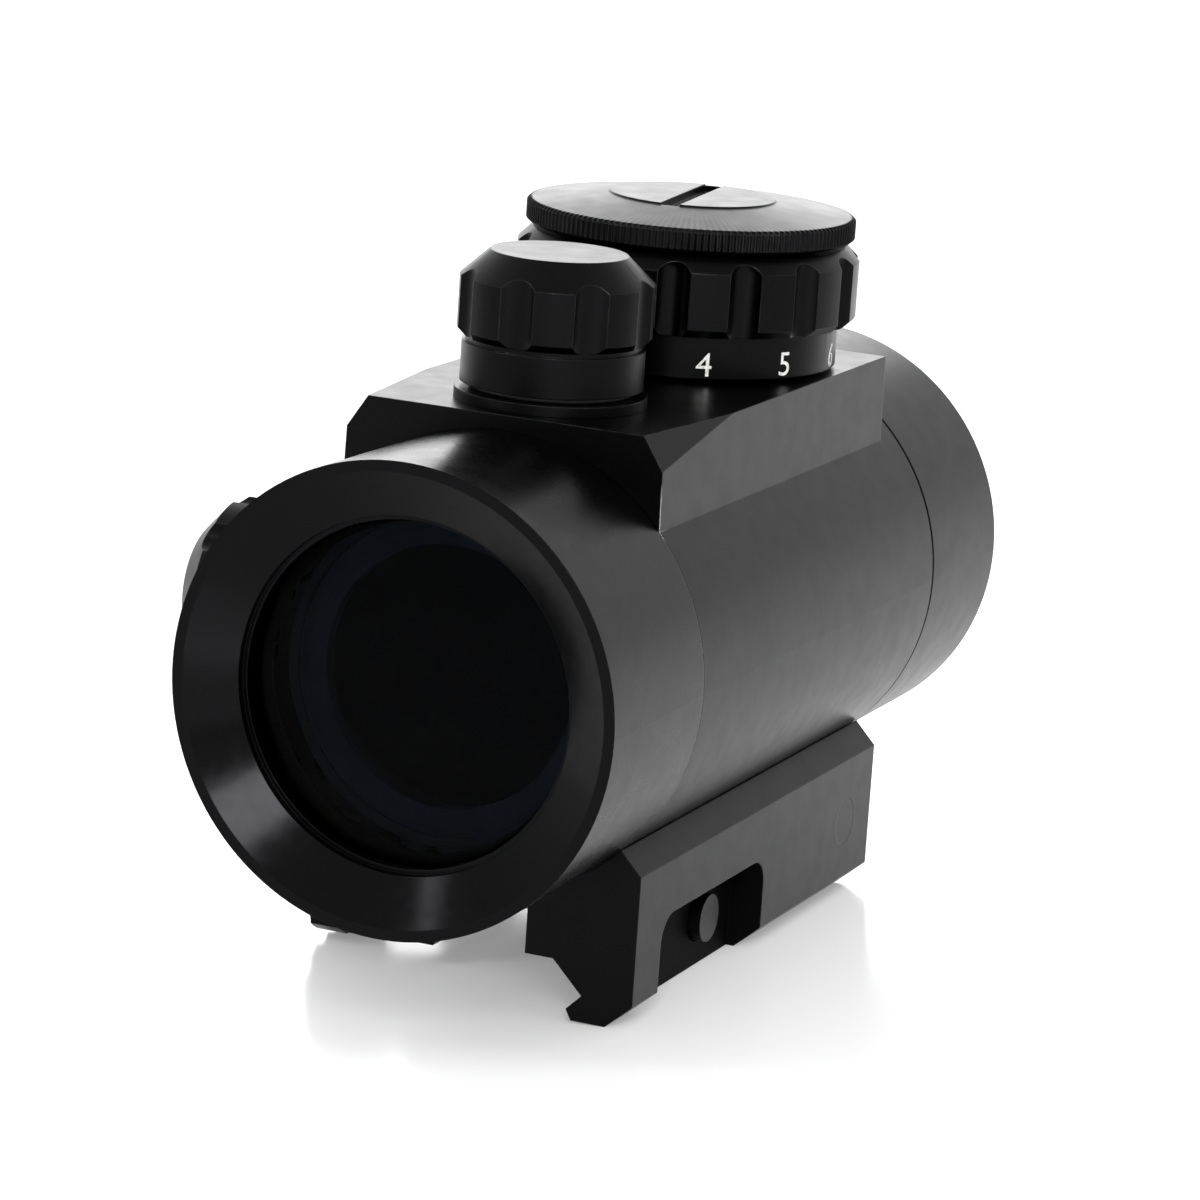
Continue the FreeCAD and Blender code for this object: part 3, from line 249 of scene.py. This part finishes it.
def matt_inner_anodised():
    """Aluminium with a fine baffle thread and a dead black dye, which keeps stray light off the lens."""
    def build(tree):
        place = add(tree, "ShaderNodeTexCoord").outputs["Object"]
        rings = add(tree, "ShaderNodeTexWave", {"Scale": 1 / (3.1 * MM) / 3.2, "Distortion": 0.3},
                    {"Vector": place}, bands_direction="Y").outputs["Fac"]
        return {"Normal": raised(tree, rings, 0.05, 0.6),
                "Roughness": ranged(tree, noise_of(tree, 2.0), 0.55, 0.7)}

    return finish("matt_black_anodised_aluminium",
                  {"Metallic": 0.0, "Base Color": linear("#1b1f24"), "IOR": 1.4}, build=build)


def coated_lens_glass(name, tint):
    """Polished glass with an anti-reflection film: almost black from the front, with a faint blue cast.

    The film's weak reflection is drawn as a low refractive index, because the lens is nearly flat.
    """
    def build(tree):
        return {"Roughness": ranged(tree, noise_of(tree, 6.0), 0.0, 0.02)}

    return finish(name, {"Base Color": linear(tint), "Transmission Weight": 1.0, "IOR": 1.08}, build=build)


def seal_rubber():
    """Moulded nitrile rubber: black, with a dull waxy sheen."""
    def build(tree):
        return {"Roughness": ranged(tree, noise_of(tree, 1.5), 0.5, 0.65),
                "Normal": raised(tree, noise_of(tree, 0.2), 0.004, 0.4)}

    return finish("moulded_nitrile_rubber", {"Base Color": linear("#0d0d0d"), "IOR": 1.52}, build=build)


def streaked_metal(name, low, high, rough, stretch, grain_mm):
    """A drawn, turned or stamped metal: fine streaks along the way it was worked."""
    def build(tree):
        streaks = noise_of(tree, grain_mm, 3.0, stretch)
        return {"Base Color": blended(tree, ranged(tree, streaks, 0.0, 1.0), low, high),
                "Roughness": ranged(tree, streaks, rough, rough + 0.12),
                "Normal": raised(tree, streaks, 0.003, 0.5)}

    return finish(name, {"Metallic": 1.0}, build=build)


def moulded_plastic(name, colour, grain_mm, rough, extra=None):
    """An injection-moulded plastic: an even colour with the mould's fine spark-eroded grain."""
    def build(tree):
        return {"Roughness": ranged(tree, noise_of(tree, 2.5), rough, rough + 0.1),
                "Normal": raised(tree, noise_of(tree, grain_mm), 0.006, 0.35)}

    return finish(name, {"Base Color": linear(colour), "IOR": 1.53, **(extra or {})}, build=build)


def dial_paint():
    """White enamel filled into the engraved numbers: slightly uneven, with a soft gloss."""
    def build(tree):
        patchy = ranged(tree, noise_of(tree, 0.25, 3.0), 0.0, 1.0, 0.25, 0.6)
        return {"Base Color": blended(tree, patchy, "#b9b9b6", bpy.context.scene.finder_colours.numbers),
                "Roughness": ranged(tree, noise_of(tree, 0.3), 0.4, 0.55)}

    return finish("filled_white_enamel", {"IOR": 1.5}, build=build)


def dress(nodes, material):
    """Give CAD nodes a finish."""
    for name in nodes:
        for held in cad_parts[name].material_slots:
            held.material = material


# ---------------------------------------------------------------- mesh code
def piece_from(name, mesh, material, body):
    """A new piece from a mesh, in its finish, riding on a body."""
    made = bpy.data.objects.new(name, mesh)
    bpy.context.scene.collection.objects.link(made)
    mesh.materials.clear()
    mesh.materials.append(material)
    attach(made, body)
    return made


def smooth_by_angle(mesh, degrees=32):
    """Smooth shading, with the sharp edges kept."""
    shape = bmesh.new()
    shape.from_mesh(mesh)
    for face in shape.faces:
        face.smooth = True
    for edge in shape.edges:
        edge.smooth = edge.calc_face_angle(math.pi) < math.radians(degrees)
    shape.to_mesh(mesh)
    shape.free()


def lathe(name, profile, columns, wave=None):
    """A closed turned mesh about local Z.

    profile holds (radius, height, wavy), and wave(angle) is what the wavy rows lose in radius.
    """
    shape = bmesh.new()
    rows = []
    for radius, height, wavy in profile:
        if radius == 0:
            rows.append([shape.verts.new((0, 0, height))])
            continue
        row = []
        for i in range(columns):
            angle = 2 * math.pi * i / columns
            reach = radius - (wave(angle) if wave and wavy else 0)
            row.append(shape.verts.new((reach * math.cos(angle), reach * math.sin(angle), height)))
        rows.append(row)
    for low, high in zip(rows, rows[1:]):
        for i in range(columns):
            k = (i + 1) % columns
            corners = [low[i % len(low)], low[k % len(low)], high[k % len(high)], high[i % len(high)]]
            shape.faces.new(list(dict.fromkeys(corners)))
    bmesh.ops.recalc_face_normals(shape, faces=shape.faces)
    mesh = bpy.data.meshes.new(name)
    shape.to_mesh(mesh)
    shape.free()
    return mesh


def block_mesh(name, low, high):
    """A closed six-sided cutter between two corners."""
    shape = bmesh.new()
    bmesh.ops.create_cube(shape, size=1.0)
    middle = (Vector(low) + Vector(high)) / 2
    span = Vector(high) - Vector(low)
    for vert in shape.verts:
        vert.co = middle + Vector(a * b for a, b in zip(vert.co, span))
    mesh = bpy.data.meshes.new(name)
    shape.to_mesh(mesh)
    shape.free()
    return mesh


def cut_away(mesh, cutter):
    """The mesh less the cutter."""
    base = bpy.data.objects.new("cut_base", mesh)
    tool = bpy.data.objects.new("cut_tool", cutter)
    for made in (base, tool):
        bpy.context.scene.collection.objects.link(made)
    trim = base.modifiers.new("cut", "BOOLEAN")
    trim.object, trim.operation, trim.solver = tool, "DIFFERENCE", "EXACT"
    bpy.context.view_layer.update()
    result = bpy.data.meshes.new_from_object(base.evaluated_get(bpy.context.evaluated_depsgraph_get()))
    for made in (base, tool):
        bpy.data.objects.remove(made)
    return result


# ---------------------------------------------------------------- settings
class FinderSizes(bpy.types.PropertyGroup):
    """Sizes that a user may change."""
    grit: bpy.props.FloatProperty(
        name="Blasting grit", default=0.16, min=0.01,
        description="Size of the blasted grain in millimetres, drawn coarser than the real 0.05 so it shows")
    knurls: bpy.props.IntProperty(
        name="Knurls", description="Teeth round the battery cap's edge", default=160, min=24)
    knurl_depth: bpy.props.FloatProperty(
        name="Knurl depth", description="Depth of those teeth", default=0.17 * MM,
        subtype="DISTANCE", unit="LENGTH")
    number_height: bpy.props.FloatProperty(
        name="Number height", description="Height of the dial's numbers", default=2.1 * MM,
        subtype="DISTANCE", unit="LENGTH")
    number_middle: bpy.props.FloatProperty(
        name="Number level", description="Height of the middle of the numbers", default=45.05 * MM,
        subtype="DISTANCE", unit="LENGTH")
    four_at: bpy.props.FloatProperty(
        name="Place of the four", description="Angle of the number four from the front, in degrees",
        default=30.7)
    slot_turn: bpy.props.FloatProperty(
        name="Slot turn", description="Turn of the coin slot from the tube's direction, in degrees",
        default=6.9)


class FinderColours(bpy.types.PropertyGroup):
    """Colours that a user may change, in sRGB hex."""
    anodised: bpy.props.StringProperty(
        name="Anodised", description="Dyed aluminium seen straight on", default="#151516")
    worn_edge: bpy.props.StringProperty(
        name="Worn edge", description="Edges rubbed through handling", default="#4a4a4b")
    # the near-white of the top block's corner is a painted highlight, drawn as metal with its dye worn
    # through
    bare: bpy.props.StringProperty(
        name="Bare metal", description="Chipped corner of the top block", default="#e4e4e2")
    numbers: bpy.props.StringProperty(
        name="Numbers", description="Paint of the dial's numbers", default="#f2f2ee")
    floor: bpy.props.StringProperty(
        name="Floor", description="Floor and surroundings", default="#f4f4f4")


# ---------------------------------------------------------------- operators
class DressHousing(bpy.types.Operator):
    """Finish the tube, the front ring, the eyepiece ring, the base and the seals"""
    bl_idname = "finder.dress_housing"
    bl_label = "Tube and base"

    def execute(self, context):
        dress(["main_housing", "eyepiece_ring"], bead_blasted_black_anodised())
        dress(["rail_base"], milled_black_anodised())
        dress(["objective_bezel"], turned_black_anodised())
        dress(["bezel_seal", "eyepiece_seal", "elevation_cap_seal", "windage_cap_seal",
               "battery_cap_seal"], seal_rubber())
        return {"FINISHED"}


class DressOptics(bpy.types.Operator):
    """Finish the lenses, the inner tube and the light source, and make the curved reflecting lens"""
    bl_idname = "finder.dress_optics"
    bl_label = "Optics"

    def execute(self, context):
        dress(["inner_tube", "pivot_ring", "objective_retainer", "ocular_retainer",
               "combiner_retainer"], matt_inner_anodised())
        dress(["objective_lens", "ocular_lens"], coated_lens_glass("coated_crown_glass", "#8b97a8"))
        dress(["led_holder"], moulded_plastic("moulded_black_nylon", "#2a2b2d", 0.3, 0.4))
        dress(["led_emitter"], moulded_plastic("clear_red_epoxy", "#a01010", 0.5, 0.12,
                                               {"Transmission Weight": 0.6}))
        dress(["pitch_pins", "yaw_pins", "elevation_spring", "windage_spring"],
              streaked_metal("drawn_spring_steel", "#8d8f92", "#b9babc", 0.22, (1, 1, 6), 0.3))
        low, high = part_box("combiner_lens")
        radius, thick = (high.x - low.x) / 2, high.y - low.y
        curve, steps = 75.0 * MM, 12
        rim, flatter = radius ** 2 / (2 * curve), 0.55
        bowl = [(radius * i / steps, rim * (i / steps) ** 2) for i in range(steps + 1)]
        profile = [(r, thick - rim + sag, False) for r, sag in bowl]
        profile += [(r, flatter * sag, False) for r, sag in reversed(bowl)]
        mesh = lathe("curved_reflector", profile, 96)
        to_front = Matrix.Translation(((low.x + high.x) / 2, high.y, (low.z + high.z) / 2))
        mesh.transform(to_front @ Matrix.Rotation(math.radians(90), 4, "X"))
        smooth_by_angle(mesh, 40)
        glass = coated_lens_glass("dichroic_reflector_glass", "#3d4756")
        made = piece_from("curved_reflector", mesh, glass, "inner")
        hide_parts("combiner_lens")
        return {"FINISHED"}


class DressAdjusters(bpy.types.Operator):
    """Finish the two adjusters and their caps"""
    bl_idname = "finder.dress_adjusters"
    bl_label = "Adjusters"

    def execute(self, context):
        dress(["elevation_cap", "windage_cap"], bead_blasted_black_anodised())
        dress(["elevation_base", "windage_base"], bead_blasted_black_anodised())
        dress(["elevation_dial", "windage_dial"],
              streaked_metal("turned_brass", "#8f7433", "#b89a52", 0.24, (1, 1, 7), 0.3))
        dress(["elevation_plunger", "windage_plunger"],
              streaked_metal("ground_steel", "#8f9194", "#b5b6b8", 0.2, (1, 1, 7), 0.25))
        return {"FINISHED"}


class DressSwitch(bpy.types.Operator):
    """Finish the brightness switch, paint its numbers and knurl its battery cap"""
    bl_idname = "finder.dress_switch"
    bl_label = "Brightness switch"

    def execute(self, context):
        black = bead_blasted_black_anodised()
        dress(["dial_knob"], black)
        dress(["switch_core"], moulded_plastic("moulded_black_acetal", "#101011", 0.3, 0.42))
        dress(["switch_board"], moulded_plastic("solder_mask_board", "#123a22", 0.5, 0.35))
        dress(["battery"], streaked_metal("nickel_plated_steel", "#a9aaab", "#c9cacb", 0.18, (6, 1, 1), 0.4))
        bronze = streaked_metal("stamped_phosphor_bronze", "#8a6236", "#ad8350", 0.26, (6, 1, 1), 0.3)
        dress(["click_spring", "battery_contact", "dial_wiper"], bronze)
        self.number_the_dial(context)
        self.knurl_the_cap(context, black)
        return {"FINISHED"}

    def number_the_dial(self, context):
        """Raise the numbers 0 to 10 a hair over the skirt, each bent to its round wall."""
        sizes = context.scene.finder_sizes
        cap_height_of_font = 0.729
        proud = 0.012 * MM
        paint = dial_paint()
        for number in range(11):
            text = bpy.data.curves.new(f"number_{number}", "FONT")
            text.body = str(number)
            text.align_x = text.align_y = "CENTER"
            text.size = sizes.number_height / cap_height_of_font
            text.resolution_u = 6
            text.extrude = 0.02 * MM
            holder = bpy.data.objects.new("number_text", text)
            context.scene.collection.objects.link(holder)
            context.view_layer.update()
            seen = holder.evaluated_get(context.evaluated_depsgraph_get())
            mesh = bpy.data.meshes.new_from_object(seen)
            bpy.data.objects.remove(holder)
            middle = math.radians(sizes.four_at + (number - 4) * 360 / 11 - 90)
            ups = [vert.co.y for vert in mesh.vertices]
            centre = (min(ups) + max(ups)) / 2
            for vert in mesh.vertices:
                angle = middle + vert.co.x / SKIRT_RADIUS
                reach = SKIRT_RADIUS + proud + vert.co.z
                vert.co = (KNOB_AXIS.x + reach * math.cos(angle), KNOB_AXIS.y + reach * math.sin(angle),
                           sizes.number_middle + vert.co.y - centre)
            piece_from(f"dial_number_{number}", mesh, paint, "dial_knob")

    def knurl_the_cap(self, context, finish_of_cap):
        """Replace the plain battery cap by one with a straight-knurled edge and its coin slot."""
        sizes = context.scene.finder_sizes
        low, high = CAP_LOW, CAP_HIGH
        radius = (high.x - low.x) / 2
        top, foot = high.z - low.z, 1.76 * MM
        edge, spigot, plateau = 2.05 * MM, 10.05 * MM, 7.1 * MM
        bevel = 0.3 * MM
        profile = [(0, 0, False), (spigot, 0, False), (spigot, foot, False),
                   (radius - 2 * bevel, foot, False), (radius - bevel, foot + 0.05 * MM, True),
                   (radius, foot + bevel, True), (radius, foot + edge - bevel, True),
                   (radius - bevel, foot + edge - 0.03 * MM, True), (radius - 2 * bevel, foot + edge, False),
                   (plateau + 0.15 * MM, top - 0.15 * MM, False), (plateau, top, False), (0, top, False)]

        def teeth(angle):
            turn = angle * sizes.knurls / (2 * math.pi) % 1
            return sizes.knurl_depth * (1 - abs(2 * turn - 1)) ** 0.8

        mesh = lathe("battery_cap_blank", profile, sizes.knurls * 6, teeth)
        half = 0.85 * MM
        slot = block_mesh("coin_slot", (-half, -plateau - 0.15 * MM, top - 0.7 * MM),
                          (half, plateau + 0.15 * MM, top + MM))
        slot.transform(Matrix.Rotation(math.radians(sizes.slot_turn), 4, "Z"))
        mesh = cut_away(mesh, slot)
        mesh.transform(Matrix.Translation(((low.x + high.x) / 2, (low.y + high.y) / 2, low.z)))
        smooth_by_angle(mesh, 24)
        made = piece_from("knurled_battery_cap", mesh, finish_of_cap, "battery_cap")
        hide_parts("battery_cap")


class DressClamp(bpy.types.Operator):
    """Finish the clamp jaw, its studs, its thumb nuts and the base's screws"""
    bl_idname = "finder.dress_clamp"
    bl_label = "Clamp"

    def execute(self, context):
        dress(["clamp_jaw", "front_thumb_nut", "rear_thumb_nut"], bead_blasted_black_anodised())
        dress(["base_screws", "front_stud", "rear_stud"],
              streaked_metal("black_oxide_steel", "#141415", "#303031", 0.3, (7, 1, 1), 0.3))
        return {"FINISHED"}


# name, (azimuth, elevation) in degrees, distance, (width, height) in metres, power in watts
LAMPS = [
    ("softbox_over_camera", (24, 26), 0.75, (0.24, 0.26), 3.0),
    ("softbox_left", (-49, 38), 0.8, (0.16, 0.2), 0.7),
    ("softbox_behind", (-157, 15), 0.8, (0.5, 0.3), 1.0),
]
CAMERA_PLACE = (0.158187, -0.379117, 0.115584)
CAMERA_TURN = (77.3614, -3.8433, 23.6761)
CAMERA_LENS = 148.33


class SetStage(bpy.types.Operator):
    """Set the floor, the surroundings, the lamps and the camera"""
    bl_idname = "finder.set_stage"
    bl_label = "Stage"

    def execute(self, context):
        scene = context.scene
        pale = linear(scene.finder_colours.floor)
        self.lay_floor(scene, pale)
        world = bpy.data.worlds.new("white_room")
        world.use_nodes = True
        world.node_tree.nodes["Background"].inputs["Color"].default_value = (1, 1, 1, 1)
        world.node_tree.nodes["Background"].inputs["Strength"].default_value = 1.0
        scene.world = world
        for lamp in LAMPS:
            self.hang_lamp(scene, *lamp)
        lens = bpy.data.cameras.new("camera")
        lens.sensor_width, lens.lens = 36.0, CAMERA_LENS
        lens.clip_start, lens.clip_end = 0.01, 20.0
        camera = bpy.data.objects.new("camera", lens)
        camera.location = CAMERA_PLACE
        camera.rotation_euler = Euler([math.radians(angle) for angle in CAMERA_TURN])
        scene.collection.objects.link(camera)
        scene.camera = camera
        scene.view_settings.view_transform = "Standard"
        return {"FINISHED"}

    def lay_floor(self, scene, colour):
        """A floor through the fixed jaw's foot and the front thumb nut, on which the finder leans."""
        jaw, nut = (12.8 * MM, -4.9 * MM), (-20.4 * MM, -7.7 * MM)
        slope = (jaw[1] - nut[1]) / (jaw[0] - nut[0])
        reach, sunk = 3.0, 0.02 * MM
        shape = bmesh.new()
        corners = [(-reach, -reach), (reach, -reach), (reach, reach), (-reach, reach)]
        shape.faces.new([shape.verts.new((x, y, jaw[1] + slope * (x - jaw[0]) - sunk))
                         for x, y in corners])
        mesh = bpy.data.meshes.new("floor")
        shape.to_mesh(mesh)
        shape.free()

        def build(tree):
            rays = add(tree, "ShaderNodeLightPath").outputs
            seen = add(tree, "ShaderNodeMath", links={0: rays["Is Camera Ray"], 1: rays["Is Glossy Ray"]},
                       operation="ADD").outputs["Value"]
            seen = add(tree, "ShaderNodeMath", links={0: seen, 1: rays["Is Transmission Ray"]},
                       operation="ADD").outputs["Value"]
            return {"Roughness": ranged(tree, noise_of(tree, 60.0), 0.16, 0.2),
                    "Emission Strength": ranged(tree, seen, 0.0, 0.22, 0.0, 1.0)}

        white = {"Base Color": colour, "IOR": 1.4, "Specular IOR Level": 0.3,
                 "Emission Color": (1, 1, 1, 1)}
        mesh.materials.append(finish("white_acrylic_sheet", white, build=build))
        floor = bpy.data.objects.new("floor", mesh)
        scene.collection.objects.link(floor)

    def hang_lamp(self, scene, name, direction, distance, size, power):
        """An area lamp that faces the finder from an azimuth and an elevation."""
        azimuth, elevation = (math.radians(a) for a in direction)
        toward = Vector((math.sin(azimuth) * math.cos(elevation),
                         -math.cos(azimuth) * math.cos(elevation), math.sin(elevation)))
        lamp = bpy.data.lights.new(name, "AREA")
        lamp.shape, lamp.energy = "RECTANGLE", power
        lamp.size, lamp.size_y = size
        holder = bpy.data.objects.new(name, lamp)
        aim = Vector((0, 0, TUBE_AXIS_Z))
        holder.location = aim + toward * distance
        holder.rotation_euler = (-toward).to_track_quat("-Z", "Y").to_euler()
        scene.collection.objects.link(holder)


OPERATORS = (DressHousing, DressOptics, DressAdjusters, DressSwitch, DressClamp, SetStage)


class FinderPanel(bpy.types.Panel):
    """The finder's operators and settings in the sidebar"""
    bl_idname = "VIEW3D_PT_finder"
    bl_label = "Red dot finder"
    bl_space_type = "VIEW_3D"
    bl_region_type = "UI"
    bl_category = "Finder"

    def draw(self, context):
        for group in (context.scene.finder_sizes, context.scene.finder_colours):
            for name in group.__annotations__:
                self.layout.prop(group, name)
        for operator in OPERATORS:
            self.layout.operator(operator.bl_idname)


CLASSES = (FinderSizes, FinderColours, *OPERATORS, FinderPanel)


def register():
    for each in CLASSES:
        bpy.utils.register_class(each)
    bpy.types.Scene.finder_sizes = bpy.props.PointerProperty(type=FinderSizes)
    bpy.types.Scene.finder_colours = bpy.props.PointerProperty(type=FinderColours)


def unregister():
    del bpy.types.Scene.finder_sizes
    del bpy.types.Scene.finder_colours
    for each in reversed(CLASSES):
        bpy.utils.unregister_class(each)


def main():
    register()
    for operator in OPERATORS:
        group, name = operator.bl_idname.split(".")
        getattr(getattr(bpy.ops, group), name)()


if __name__ == "__main__":
    main()
